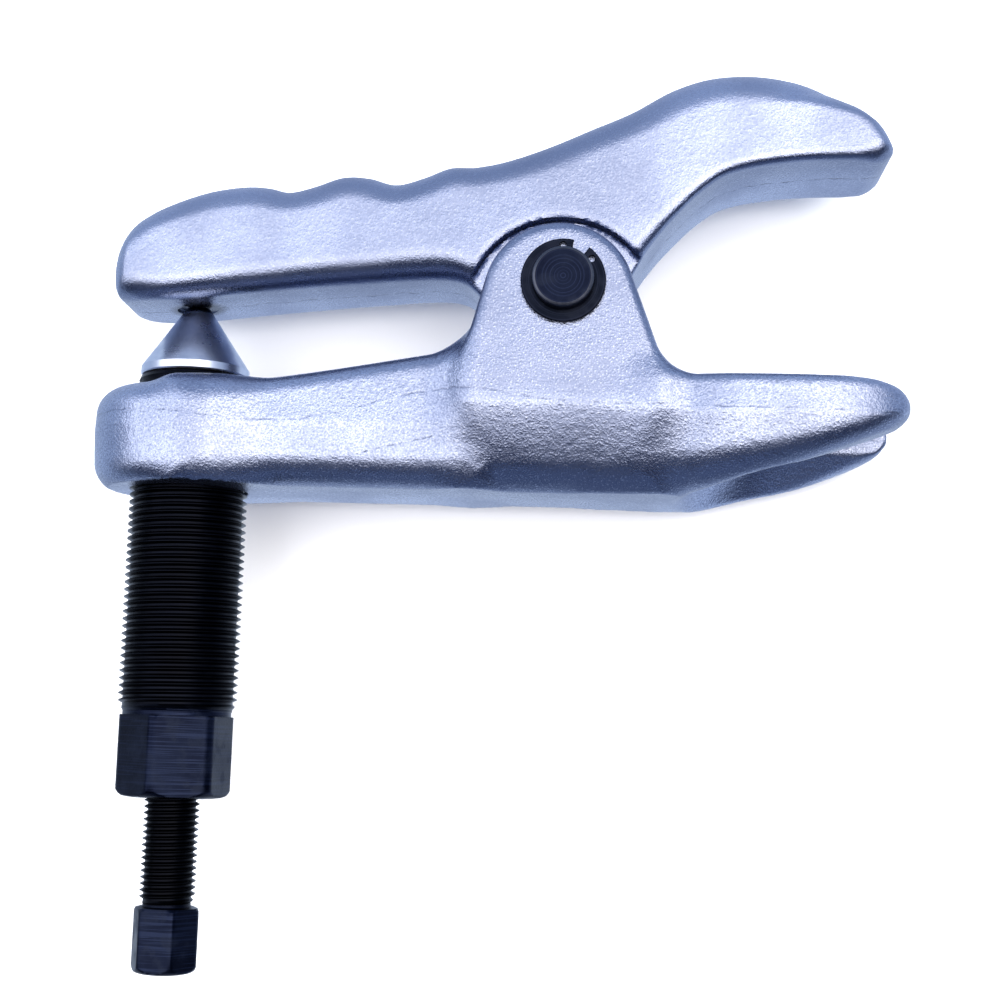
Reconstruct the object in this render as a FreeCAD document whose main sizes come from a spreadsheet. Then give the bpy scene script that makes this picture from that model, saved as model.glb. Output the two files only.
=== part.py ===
import FreeCAD, Part
import math
import os
import Sketcher

# Ball joint separator: a forked arm with two clevis ears, a swinging lever between them,
# and a hollow adjuster that carries the forcing screw and its pressure cone.
#
# Row frame, millimetres: the origin is on the axis of the fork's round throat, on the flat
# top of the tines and half way through the tool. +X runs from the screw towards the fork
# tips, +Y runs along the forcing screw from its hex to the cone, and +Z is the pivot pin's
# axis, so the tool lies on its side. Every profile below is dimensioned from the pivot
# pin's axis, as the forgings are, and each body is then placed at pivot_x, pivot_y.

V = FreeCAD.Vector
LEAST_CUT = 0.001                # cubic millimetres
SAME_PLACE = 1e-9

SIZES = {
    # driving dimensions
    "pivot_x": -45.5,            # pivot axis from the throat's centre
    "pivot_y": 18.5,             # pivot axis above the top of the tines
    "screw_x": -76.7,            # screw axis from the pivot axis
    "arm_top": -19.0,            # eye face under the cone
    "arm_bottom": -41.3,         # eye face over the adjuster's thread
    "arm_floor": -40.4,          # underside of the arm
    "arm_width": 37.0,
    "eye_radius": 19.8,
    "ear_width": 44.0,
    "ear_top_radius": 15.0,
    "clevis_gap": 24.0,
    "clevis_floor_radius": 17.0,
    "tine_width": 48.0,
    "tine_tip_x": 69.3,
    "slot_width": 22.0,
    "throat_x": 45.5,
    "relief_top": -27.3,         # where the funnel under the slot starts
    "relief_spread": 10.5,       # how much wider the funnel is at the floor
    # lever
    "lever_width": 28.5,
    "hub_width": 23.4,
    "recess_x": -0.5,
    "recess_y": -4.0,
    "recess_radius": 19.2,
    "dimple_radius": 5.4,
    "dimple_top": -1.4,
    # pivot
    "pin_radius": 6.0,
    "pin_fit": 0.04,             # radial running clearance
    "pin_length": 53.0,
    "ring_seat": 22.2,           # inner face of each retaining ring from mid-plane
    "ring_thickness": 1.0,
    "ring_outer_radius": 8.15,
    "ring_groove_radius": 5.7,
    "ring_groove_length": 1.1,
    "ring_hole_degrees": 53.0,   # between the two plier holes
    "ring_lug_degrees": 9.0,     # from a hole to the end of its lug
    "ring_hole_radius": 0.75,
    "ring_hole_circle": 6.95,
    "ring_gap_centre": 65.0,
    # adjuster, metric 24 x 1.5
    "adjuster_radius": 12.0,
    "thread_fit": 0.05,
    "adjuster_top": -16.9,
    "thread_end": -85.1,
    "adjuster_hex_top": -86.5,
    "adjuster_end": -102.9,
    "adjuster_hex_flats": 20.6,
    "adjuster_corner_radius": 11.5,
    "adjuster_hex_turn": 19.0,
    "relief_radius": 10.9,
    # forcing screw, 7/16 inch, 20 threads to the inch
    "forcing_radius": 5.556,
    "forcing_shoulder": -17.6,
    "forcing_hex_top": -124.7,
    "forcing_end": -137.6,
    "forcing_hex_flats": 12.0,
    "forcing_corner_radius": 6.75,
    "forcing_hex_turn": -6.6,
    "neck_radius": 4.2,
    "nose_top": -13.0,
    "groove_radius": 3.4,
    "groove_low": -15.3,
    "groove_high": -14.1,
    # pressure cone, its ball and its wire ring
    "cone_base": -16.5,
    "cone_lip": 1.9,
    "cone_base_radius": 11.15,
    "cone_tip_radius": 2.45,
    "cone_tip": -1.7,
    "cone_bore_radius": 4.55,
    "cone_bore_top": -8.0,
    "ball_radius": 3.0,
    "ball_fit": 0.02,            # between the ball and the cone
    "cup_fit": 0.08,             # radial, between the ball and the screw's cup
    "wire_radius": 0.45,
    "wire_ring_radius": 4.3,
}

doc = FreeCAD.newDocument("ball_joint_separator")
sheet = doc.addObject("Spreadsheet::Sheet", "sizes")
for row, (alias, value) in enumerate(SIZES.items(), start=1):
    sheet.set("A%d" % row, alias)
    sheet.set("B%d" % row, str(value))
    sheet.setAlias("B%d" % row, alias)
doc.recompute()


def size(name):
    return SIZES[name]


def cell(name):
    return "sizes." + name


# ---------------------------------------------------------------- sketching helpers

def new_body(label, x_cell=None):
    """A body whose origin is the pivot axis, or the screw axis when x_cell is given."""
    body = doc.addObject("PartDesign::Body", label)
    body.Label = label
    offset = size(x_cell) if x_cell else 0.0
    body.Placement = FreeCAD.Placement(V(size("pivot_x") + offset, size("pivot_y"), 0), FreeCAD.Rotation())
    along_x = cell("pivot_x") + (" + " + cell(x_cell) if x_cell else "")
    body.setExpression("Placement.Base.x", "(%s) * 1mm" % along_x)
    body.setExpression("Placement.Base.y", cell("pivot_y") + " * 1mm")
    return body


def new_sketch(body, name, plane="XY_Plane", offset=0.0):
    """A sketch on one of the body's own origin planes, shifted along its normal."""
    sketch = body.newObject("Sketcher::SketchObject", body.Label + "_" + name)
    support = next(part for part in body.Origin.OriginFeatures if part.Role == plane)
    sketch.AttachmentSupport = [(support, "")]
    sketch.MapMode = "FlatFace"
    sketch.AttachmentOffset = FreeCAD.Placement(V(0, 0, offset), FreeCAD.Rotation())
    return sketch


def add_polygon(sketch, points):
    """A closed outline of straight lines, its corners joined by coincidence."""
    corners = [V(x, y, 0) for x, y in points]
    first = None
    for here, after in zip(corners, corners[1:] + corners[:1]):
        index = sketch.addGeometry(Part.LineSegment(here, after), False)
        first = index if first is None else first
    last = first + len(corners) - 1
    for index in range(first, last):
        sketch.addConstraint(Sketcher.Constraint("Coincident", index, 2, index + 1, 1))
    sketch.addConstraint(Sketcher.Constraint("Coincident", last, 2, first, 1))


def add_chain(sketch, pieces):
    """A closed outline of curves in order, each starting where the last one ends, held in place."""
    for piece in pieces:
        index = sketch.addGeometry(piece, False)
        sketch.addConstraint(Sketcher.Constraint("Block", index))


def add_circle(sketch, x, y, radius_cell, extra=""):
    """A circle whose radius follows a cell of the sheet."""
    index = sketch.addGeometry(Part.Circle(V(x, y, 0), V(0, 0, 1), 1.0), False)
    radius = sketch.addConstraint(Sketcher.Constraint("Radius", index, 1.0))
    sketch.addConstraint(Sketcher.Constraint("DistanceX", -1, 1, index, 3, x) if abs(x) > SAME_PLACE
                         else Sketcher.Constraint("PointOnObject", index, 3, -2))
    sketch.addConstraint(Sketcher.Constraint("DistanceY", -1, 1, index, 3, y) if abs(y) > SAME_PLACE
                         else Sketcher.Constraint("PointOnObject", index, 3, -1))
    sketch.setExpression("Constraints[%d]" % radius, cell(radius_cell) + extra)


def curve(points):
    """A smooth curve through hand-placed points."""
    spline = Part.BSplineCurve()
    spline.interpolate([V(x, y, 0) for x, y in points])
    return spline


def line(start, end):
    return Part.LineSegment(V(*start, 0), V(*end, 0))


def arc(start, middle, end):
    return Part.Arc(V(*start, 0), V(*middle, 0), V(*end, 0))


def pad(body, sketch, name, length, both_ways=True, backwards=False):
    """Material of the sketch's outline, its length an expression of the sheet's cells."""
    feature = body.newObject("PartDesign::Pad", body.Label + "_" + name)
    feature.Profile = sketch
    feature.Midplane = both_ways
    feature.Reversed = backwards
    feature.setExpression("Length", length)
    body.Tip = feature


def pocket(body, sketch, name, length=None, both_ways=True, backwards=False):
    """A cut of that length, or right through. The volume before and after shows that it cut."""
    doc.recompute()
    before = body.Shape.Volume
    feature = body.newObject("PartDesign::Pocket", body.Label + "_" + name)
    feature.Profile = sketch
    feature.Midplane = both_ways
    feature.Reversed = backwards
    feature.Type = "Length" if length else "ThroughAll"
    if length:
        feature.setExpression("Length", length)
    body.Tip = feature
    doc.recompute()
    if body.Shape.Volume > before - LEAST_CUT:
        raise RuntimeError(name + " cut nothing")


def turn(body, sketch):
    """A solid revolved about the sketch's own vertical axis."""
    feature = body.newObject("PartDesign::Revolution", body.Label + "_turned")
    feature.Profile = sketch
    feature.ReferenceAxis = (sketch, ["V_Axis"])
    feature.Angle = 360.0
    body.Tip = feature


def turned_cut(body, sketch, name, edge):
    """A cut revolved about one straight edge of its own sketch."""
    groove = body.newObject("PartDesign::Groove", body.Label + "_" + name)
    groove.Profile = sketch
    groove.ReferenceAxis = (sketch, ["Edge%d" % edge])
    groove.Angle = 360.0
    body.Tip = groove


# ---------------------------------------------------------------- forked arm

def ear_outline():
    """Side outline of the clevis ears and of the block under them."""
    radius = size("ear_top_radius")
    centre_x, centre_y = -0.8, -2.6
    left_angle, right_angle = math.radians(167), math.radians(16)

    def on_top(angle):
        return (centre_x + radius * math.cos(angle), centre_y + radius * math.sin(angle))

    left, right = on_top(left_angle), on_top(right_angle)
    left_foot, right_foot = (-18.6, -10.5), (19.4, -14.0)
    block_left, block_right = -22.5, 25.0
    deck = size("arm_top") + 0.5
    floor = size("arm_floor")
    return [
        arc(right, on_top(math.radians(90)), left),
        line(left, left_foot),
        arc(left_foot, (-19.7, -12.6), (block_left, -13.2)),
        line((block_left, -13.2), (block_left, floor)),
        line((block_left, floor), (block_right, floor)),
        line((block_right, floor), (block_right, deck)),
        arc((block_right, deck), (21.2, -17.3), right_foot),
        line(right_foot, right),
    ]


def make_fork_arm():
    body = new_body("fork_arm")
    axis_x = size("screw_x")
    floor, top = size("arm_floor"), size("arm_top")

    eye = new_sketch(body, "eye", "XZ_Plane", -size("arm_bottom"))
    eye.setExpression("AttachmentOffset.Base.z", "-%s * 1mm" % cell("arm_bottom"))
    add_circle(eye, axis_x, 0, "eye_radius")
    pad(body, eye, "eye", cell("arm_top") + " - " + cell("arm_bottom"), both_ways=False, backwards=True)

    neck = new_sketch(body, "neck")
    add_chain(neck, [
        line((axis_x, floor), (0.0, floor)),
        line((0.0, floor), (0.0, -13.0)),
        line((0.0, -13.0), (-26.4, -13.6)),
        curve([(-26.4, -13.6), (-44.4, -16.7), (-58.0, -18.9), (axis_x, top - 0.6)]),
        line((axis_x, top - 0.6), (axis_x, floor)),
    ])
    pad(body, neck, "neck", cell("arm_width"))

    ears = new_sketch(body, "ears")
    add_chain(ears, ear_outline())
    pad(body, ears, "ears", cell("ear_width"))

    tip, half = size("tine_tip_x"), size("tine_width") / 2
    plan = new_sketch(body, "fork_plan", "XZ_Plane", size("pivot_y"))
    plan.setExpression("AttachmentOffset.Base.z", cell("pivot_y") + " * 1mm")
    add_chain(plan, [
        line((10.0, -half + 2.0), (34.0, -half)),
        line((34.0, -half), (tip - 8.0, -half + 1.0)),
        arc((tip - 8.0, -half + 1.0), (tip - 2.0, -half + 3.3), (tip, -half + 8.0)),
        line((tip, -half + 8.0), (tip, half - 8.0)),
        arc((tip, half - 8.0), (tip - 2.0, half - 3.3), (tip - 8.0, half - 1.0)),
        line((tip - 8.0, half - 1.0), (34.0, half)),
        line((34.0, half), (10.0, half - 2.0)),
        line((10.0, half - 2.0), (10.0, -half + 2.0)),
    ])
    pad(body, plan, "fork", "-%s - %s" % (cell("arm_floor"), cell("pivot_y")), both_ways=False)

    cut_fork_underside(body)
    cut_fork_slot(body)
    cut_clevis(body)
    cut_bores(body)
    return body


def cut_fork_underside(body):
    """The tines thin down towards their tips along one long curve."""
    tip = size("tine_tip_x")
    under = new_sketch(body, "underside")
    sweep = curve([(18.0, -40.6), (28.4, -39.9), (40.0, -37.4), (52.0, -33.4), (63.0, -28.8),
                   (tip + 0.5, -25.0)])
    add_chain(under, [
        sweep,
        line((tip + 0.5, -25.0), (tip + 3.0, -25.0)),
        line((tip + 3.0, -25.0), (tip + 3.0, -46.0)),
        line((tip + 3.0, -46.0), (18.0, -46.0)),
        line((18.0, -46.0), (18.0, -40.6)),
    ])
    pocket(body, under, "underside_cut", cell("tine_width") + " + 4")


def cut_fork_slot(body):
    """The U slot that straddles the ball stud, and the funnel below it that clears the joint's boot."""
    half, throat, tip = size("slot_width") / 2, size("throat_x"), size("tine_tip_x")
    slot = new_sketch(body, "slot", "XZ_Plane", 16.0)
    add_chain(slot, [
        line((tip + 4.0, -half), (tip + 4.0, half)),
        line((tip + 4.0, half), (throat, half)),
        arc((throat, half), (throat - half, 0.0), (throat, -half)),
        line((throat, -half), (tip + 4.0, -half)),
    ])
    pocket(body, slot, "slot_cut", both_ways=False, backwards=True)

    top, floor, spread = size("relief_top"), size("arm_floor"), size("relief_spread")
    wide = half + spread
    funnel = new_sketch(body, "funnel", "YZ_Plane", throat)
    funnel.setExpression("AttachmentOffset.Base.z", cell("throat_x") + " * 1mm")
    add_polygon(funnel, [(top + 1.0, -half + 0.5), (top, -half), (floor, -wide), (floor - 2.0, -wide),
                         (floor - 2.0, wide), (floor, wide), (top, half), (top + 1.0, half - 0.5)])
    pocket(body, funnel, "funnel_cut", both_ways=False, backwards=True)

    cone = new_sketch(body, "throat_cone", "XY_Plane")
    add_polygon(cone, [(throat, top), (throat - half, top), (throat - wide, floor),
                       (throat - wide, floor - 2.0), (throat, floor - 2.0)])
    turned_cut(body, cone, "throat_funnel", 5)


def cut_clevis(body):
    """The gap between the ears, with a round floor that the lever's hub turns over."""
    gap = new_sketch(body, "clevis")
    radius = size("clevis_floor_radius")
    reach, level = 30.0, -8.0
    side = math.sqrt(radius ** 2 - level ** 2)
    add_chain(gap, [
        line((reach, level), (reach, 16.0)),
        line((reach, 16.0), (-reach, 16.0)),
        line((-reach, 16.0), (-reach, level)),
        line((-reach, level), (-side, level)),
        arc((-side, level), (0.0, -radius), (side, level)),
        line((side, level), (reach, level)),
    ])
    pocket(body, gap, "clevis_cut", cell("clevis_gap"))


def cut_bores(body):
    """The pivot bore through both ears, and the adjuster's bore through the eye."""
    pivot = new_sketch(body, "pivot_bore")
    add_circle(pivot, 0, 0, "pin_radius", " + " + cell("pin_fit"))
    pocket(body, pivot, "pivot_bore_cut", cell("ear_width") + " + 4")
    eye = new_sketch(body, "eye_bore", "XZ_Plane")
    add_circle(eye, size("screw_x"), 0, "adjuster_radius", " + " + cell("thread_fit"))
    pocket(body, eye, "eye_bore_cut", both_ways=False, backwards=True)


# ---------------------------------------------------------------- lever

def lever_outline():
    """Side outline of the lever: finger grip on the left, swan neck and pressing nose on the right."""
    bottom_left = (-90.4, -2.4)
    heel = (-86.0, 15.2)
    nose_low = (62.6, 28.7)
    hub_right, hub_left = (13.1, 3.2), (-12.4, -5.3)
    under_left = (-23.5, 3.0)
    return [
        curve([bottom_left, (-91.9, 0.2), (-92.1, 5.2), (-90.2, 11.0), heel]),
        curve([heel, (-80.1, 18.7), (-73.0, 21.1), (-66.0, 22.2), (-61.0, 22.0), (-56.9, 21.2), (-52.0, 22.4),
               (-46.0, 24.5), (-40.5, 24.4), (-35.0, 23.1), (-29.5, 24.6), (-24.0, 26.8), (-18.5, 27.1),
               (-12.0, 28.6), (-4.0, 31.6), (4.7, 35.6), (12.9, 39.4), (21.0, 44.2), (28.5, 46.9),
               (36.2, 47.7), (43.2, 47.1), (50.3, 45.1), (58.6, 40.2), (63.6, 35.4), (65.9, 32.2),
               (65.6, 30.0), nose_low]),
        curve([nose_low, (55.3, 28.7), (45.0, 28.0), (34.0, 25.8), (27.8, 22.0), (21.5, 15.6),
               (16.6, 9.3), hub_right]),
        arc(hub_right, (0.0, -13.5), hub_left),
        curve([hub_left, (-16.8, -0.5), under_left]),
        curve([under_left, (-41.5, 1.9), (-62.0, -0.2), (-80.0, -2.2), bottom_left]),
    ]


def make_lever_arm():
    body = new_body("lever_arm")
    side = new_sketch(body, "side")
    add_chain(side, lever_outline())
    pad(body, side, "forging", cell("lever_width"))

    hub_face = size("hub_width") / 2
    for sign, name in ((1, "front"), (-1, "rear")):
        recess = new_sketch(body, "recess_" + name, offset=sign * hub_face)
        recess.setExpression("AttachmentOffset.Base.z", "%d * %s * 0.5mm" % (sign, cell("hub_width")))
        add_circle(recess, size("recess_x"), size("recess_y"), "recess_radius")
        pocket(body, recess, "recess_%s_cut" % name, both_ways=False, backwards=sign > 0)

    bore = new_sketch(body, "bore")
    add_circle(bore, 0, 0, "pin_radius", " + " + cell("pin_fit"))
    pocket(body, bore, "bore_cut", cell("lever_width") + " + 4")

    axis_x, top, radius = size("screw_x"), size("dimple_top"), size("dimple_radius")
    dimple = new_sketch(body, "dimple")
    mouth, below = radius + 1.0, -6.0
    add_polygon(dimple, [(axis_x, below), (axis_x - mouth, below), (axis_x - radius, top), (axis_x, top)])
    turned_cut(body, dimple, "dimple_cut", 4)
    return body


# ---------------------------------------------------------------- pivot pin and its rings

def make_pivot_pin():
    body = new_body("pivot_pin")
    half, radius, edge = size("pin_length") / 2, size("pin_radius"), 0.6
    low = size("ring_seat") - 0.05
    high = low + size("ring_groove_length")
    neck = size("ring_groove_radius")
    upper = [(neck, low), (neck, high), (radius, high), (radius, half - edge), (radius - edge, half),
             (0.0, half)]
    lower = [(x, -y) for x, y in reversed(upper)]
    profile = new_sketch(body, "profile", "XZ_Plane")
    add_polygon(profile, lower + [(radius, -low), (radius, low)] + upper)
    turn(body, profile)
    return body


def make_ring(label, sign):
    """One external retaining ring: an open ring with two plier holes beside its gap."""
    body = new_body(label)
    seat = size("ring_seat")
    outer = new_sketch(body, "outer", offset=sign * seat)
    outer.setExpression("AttachmentOffset.Base.z", "%d * %s * 1mm" % (sign, cell("ring_seat")))
    add_circle(outer, 0, 0, "ring_outer_radius")
    pad(body, outer, "blank", cell("ring_thickness"), both_ways=False, backwards=sign < 0)

    inner = new_sketch(body, "inner")
    add_circle(inner, 0, 0, "ring_groove_radius", " + 0.05")
    pocket(body, inner, "inner_cut", cell("pin_length"))

    centre = math.radians(size("ring_gap_centre"))
    half_gap = math.radians(size("ring_hole_degrees") / 2 - size("ring_lug_degrees"))
    far = 12.0
    gap = new_sketch(body, "gap")
    add_polygon(gap, [(0.0, 0.0), (far * math.cos(centre - half_gap), far * math.sin(centre - half_gap)),
                      (far * math.cos(centre + half_gap), far * math.sin(centre + half_gap))])
    pocket(body, gap, "gap_cut", cell("pin_length"))

    holes = new_sketch(body, "holes")
    reach = size("ring_hole_circle")
    for side in (-1, 1):
        angle = centre + side * math.radians(size("ring_hole_degrees") / 2)
        add_circle(holes, reach * math.cos(angle), reach * math.sin(angle), "ring_hole_radius")
    pocket(body, holes, "holes_cut", cell("pin_length"))
    return body


# ---------------------------------------------------------------- screws

def cut_hexagon(body, name, top_cell, bottom_cell, flats, turned):
    """Mill six flats between two levels of a turned bar."""
    blank = new_sketch(body, name, "XZ_Plane", -size(top_cell))
    blank.setExpression("AttachmentOffset.Base.z", "-%s * 1mm" % cell(top_cell))
    corner = flats / math.sqrt(3)
    corners = []
    for step in range(6):
        angle = math.radians(turned + 30 + 60 * step)
        corners.append((corner * math.sin(angle), corner * math.cos(angle)))
    add_polygon(blank, corners)
    blank.addGeometry(Part.Circle(V(0, 0, 0), V(0, 0, 1), flats), False)
    length = "%s - %s + 1" % (cell(top_cell), cell(bottom_cell))
    pocket(body, blank, name + "_cut", length, both_ways=False, backwards=True)


def make_adjuster():
    """Hollow screw, 24 mm by 1.5: drawn at its outer diameter, bored for the forcing screw."""
    body = new_body("adjuster_screw", "screw_x")
    outer, corner, neck = size("adjuster_radius"), size("adjuster_corner_radius"), size("relief_radius")
    bore = size("forcing_radius") + size("thread_fit")
    top, thread_end = size("adjuster_top"), size("thread_end")
    hex_top, end = size("adjuster_hex_top"), size("adjuster_end")
    edge = 1.0
    profile = new_sketch(body, "profile")
    add_polygon(profile, [
        (bore + edge, top), (outer - edge, top), (outer, top - edge), (outer, thread_end + edge),
        (neck, thread_end), (neck, hex_top), (corner, hex_top), (corner, end + edge),
        (corner - 2 * edge, end), (bore + edge, end), (bore, end + edge), (bore, top - edge),
    ])
    turn(body, profile)
    cut_hexagon(body, "hexagon", "adjuster_hex_top", "adjuster_end",
                size("adjuster_hex_flats"), size("adjuster_hex_turn"))
    return body


def make_forcing_screw():
    """Screw that pushes the cone: drawn at its outer diameter, with a grooved nose and a ball cup."""
    body = new_body("forcing_screw", "screw_x")
    outer, nose, groove = size("forcing_radius"), size("neck_radius"), size("groove_radius")
    shoulder, nose_top = size("forcing_shoulder"), size("nose_top")
    low, high = size("groove_low"), size("groove_high")
    hex_top, end = size("forcing_hex_top"), size("forcing_end")
    corner = size("forcing_corner_radius")
    edge = 0.8
    cup = size("ball_radius") + size("cup_fit")
    ball_y = size("cone_bore_top") - size("ball_radius") - size("ball_fit")
    rim = math.sqrt(cup ** 2 - (ball_y - nose_top) ** 2)
    tilt = math.radians(70)
    profile = new_sketch(body, "profile")
    corners = [
        (0.0, end), (corner - 1.5 * edge, end), (corner, end + edge), (corner, hex_top - edge / 2),
        (outer - edge, hex_top), (outer - edge, hex_top + edge), (outer, hex_top + 2 * edge),
        (outer, shoulder - edge), (outer - edge, shoulder), (nose, shoulder), (nose, low), (groove, low),
        (groove, high), (nose, high), (nose, nose_top), (rim, nose_top),
    ]
    sides = [line(here, after) for here, after in zip(corners, corners[1:])]
    floor = (0.0, ball_y - cup)
    sides.append(arc(corners[-1], (cup * math.cos(tilt), ball_y - cup * math.sin(tilt)), floor))
    sides.append(line(floor, corners[0]))
    add_chain(profile, sides)
    turn(body, profile)
    cut_hexagon(body, "hexagon", "forcing_hex_top", "forcing_end",
                size("forcing_hex_flats"), size("forcing_hex_turn"))
    return body


def make_cone():
    """Pressure cone: a hard cap that turns freely on the forcing screw's nose."""
    body = new_body("pressure_cone", "screw_x")
    base, tip, lip = size("cone_base"), size("cone_tip"), size("cone_lip")
    wide, narrow, bore = size("cone_base_radius"), size("cone_tip_radius"), size("cone_bore_radius")
    seat = size("cone_bore_top")
    low, high = size("groove_low") + 0.1, size("groove_high") - 0.1
    wall = size("wire_ring_radius") + size("wire_radius") + 0.1
    profile = new_sketch(body, "profile")
    add_polygon(profile, [
        (bore, base), (wide - 0.3, base), (wide, base + 0.3), (wide, base + lip), (narrow, tip), (0.0, tip),
        (0.0, seat), (bore, seat), (bore, high), (wall, high), (wall, low), (bore, low),
    ])
    turn(body, profile)
    return body


def make_ball():
    ball = doc.addObject("Part::Sphere", "thrust_ball")
    ball.Label = "thrust_ball"
    ball.setExpression("Radius", cell("ball_radius") + " * 1mm")
    ball.setExpression("Placement.Base.x", "(%s + %s) * 1mm" % (cell("pivot_x"), cell("screw_x")))
    level = "(%s + %s - %s - %s) * 1mm" % tuple(
        cell(name) for name in ("pivot_y", "cone_bore_top", "ball_radius", "ball_fit"))
    ball.setExpression("Placement.Base.y", level)
    return ball


def make_wire_ring():
    ring = doc.addObject("Part::Torus", "cone_wire_ring")
    ring.Label = "cone_wire_ring"
    ring.setExpression("Radius1", cell("wire_ring_radius") + " * 1mm")
    ring.setExpression("Radius2", cell("wire_radius") + " * 1mm")
    level = size("pivot_y") + (size("groove_low") + size("groove_high")) / 2
    place = V(size("pivot_x") + size("screw_x"), level, 0)
    ring.Placement = FreeCAD.Placement(place, FreeCAD.Rotation(V(1, 0, 0), 90))
    return ring


# ---------------------------------------------------------------- check and write

def main():
    parts = [
        make_fork_arm(), make_lever_arm(), make_pivot_pin(),
        make_ring("retaining_ring_front", 1), make_ring("retaining_ring_rear", -1),
        make_adjuster(), make_forcing_screw(), make_cone(), make_ball(), make_wire_ring(),
    ]
    doc.recompute()
    for thing in doc.Objects:
        if any(state in ("Invalid", "Error") for state in thing.State):
            raise RuntimeError("%s failed: %s" % (thing.Label, thing.State))
    os.makedirs("parts", exist_ok=True)
    for part in parts:
        shape = part.Shape
        if shape.isNull() or not shape.isValid() or len(shape.Solids) != 1:
            raise RuntimeError(part.Label + " is not one valid solid")
        shape.exportStep("parts/%s.step" % part.Label)
        box = shape.BoundBox
        print("%-22s %9.0f mm3  %s" % (part.Label, shape.Volume, [round(value, 1) for value in (
            box.XMin, box.XMax, box.YMin, box.YMax, box.ZMin, box.ZMax)]))


main()
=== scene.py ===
import math

import bmesh
import bpy
import numpy as np
from mathutils import Matrix, Vector


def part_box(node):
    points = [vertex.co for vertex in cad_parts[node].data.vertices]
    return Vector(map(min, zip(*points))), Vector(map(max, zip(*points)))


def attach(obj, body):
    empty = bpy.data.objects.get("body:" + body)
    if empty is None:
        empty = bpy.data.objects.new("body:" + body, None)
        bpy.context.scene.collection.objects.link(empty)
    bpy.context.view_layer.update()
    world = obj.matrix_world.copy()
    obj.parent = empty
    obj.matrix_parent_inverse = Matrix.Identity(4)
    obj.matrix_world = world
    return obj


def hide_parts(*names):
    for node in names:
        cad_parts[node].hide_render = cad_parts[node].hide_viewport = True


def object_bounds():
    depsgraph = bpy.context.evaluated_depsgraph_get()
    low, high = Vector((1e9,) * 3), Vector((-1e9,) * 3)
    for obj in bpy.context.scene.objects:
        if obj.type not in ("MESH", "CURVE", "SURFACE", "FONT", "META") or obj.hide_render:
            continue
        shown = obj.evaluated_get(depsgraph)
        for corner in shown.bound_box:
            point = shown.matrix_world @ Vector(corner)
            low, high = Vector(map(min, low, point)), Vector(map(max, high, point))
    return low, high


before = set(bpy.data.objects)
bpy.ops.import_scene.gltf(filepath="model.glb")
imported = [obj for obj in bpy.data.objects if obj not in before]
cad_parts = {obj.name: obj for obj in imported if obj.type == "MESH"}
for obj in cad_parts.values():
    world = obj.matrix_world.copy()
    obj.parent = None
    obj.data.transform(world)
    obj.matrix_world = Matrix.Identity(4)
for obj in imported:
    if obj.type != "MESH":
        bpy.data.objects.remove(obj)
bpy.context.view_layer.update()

MM = 0.001
GRID = 0.72      # cell size of the sculpted forgings, in millimetres


def middle(node):
    """Centre of a CAD node's box, in millimetres of the row frame."""
    low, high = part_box(node)
    return [(a + b) / 2 / MM for a, b in zip(low, high)]


PIVOT = middle("pivot_pin")
SCREW = middle("adjuster_screw")
SCREW_X = SCREW[0] - PIVOT[0]            # screw axis, seen from the pivot's axis
THROAT_X = -PIVOT[0]                     # the row's origin is the throat's axis
DECK = -PIVOT[1]                         # and the flat top of the tines

# ---------------------------------------------------------------- sculpting with distances
#
# The two forgings are sculpted as signed distances, in millimetres from the pivot's axis:
# negative inside. Solids are met, joined and carved with true rounded edges and fillets,
# then a net of quads is drawn over the zero surface and pulled exactly onto it.


def rounded(a, b, radius):
    """Where two solids overlap, with the edge between them rounded."""
    a = a + radius
    b = b + radius
    inside = np.minimum(np.maximum(a, b), 0.0)
    return inside + np.hypot(np.maximum(a, 0.0), np.maximum(b, 0.0)) - radius


def joined(a, b, radius):
    """Both solids, with a fillet where they meet."""
    return -rounded(-a, -b, radius)


def carved(a, b, radius):
    """The first solid without the second, its new rim rounded."""
    return rounded(a, -b, radius)


def smooth_path(points, steps=10):
    """Points along a Catmull-Rom curve through given points."""
    pts = np.array(points, float)
    ends = np.vstack([2 * pts[0] - pts[1], pts, 2 * pts[-1] - pts[-2]])
    path = []
    for p0, p1, p2, p3 in zip(ends, ends[1:], ends[2:], ends[3:]):
        for t in np.arange(steps) / steps:
            path.append(0.5 * (2 * p1 + (p2 - p0) * t + (2 * p0 - 5 * p1 + 4 * p2 - p3) * t * t
                               + (3 * p1 - p0 - 3 * p2 + p3) * t ** 3))
    path.append(pts[-1])
    return [tuple(p) for p in path]


def arc_path(centre, radius, start, end, steps=24):
    """Points along an arc, its angles in degrees."""
    angles = np.radians(np.linspace(start, end, steps))
    return [(centre[0] + radius * math.cos(a), centre[1] + radius * math.sin(a)) for a in angles]


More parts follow.
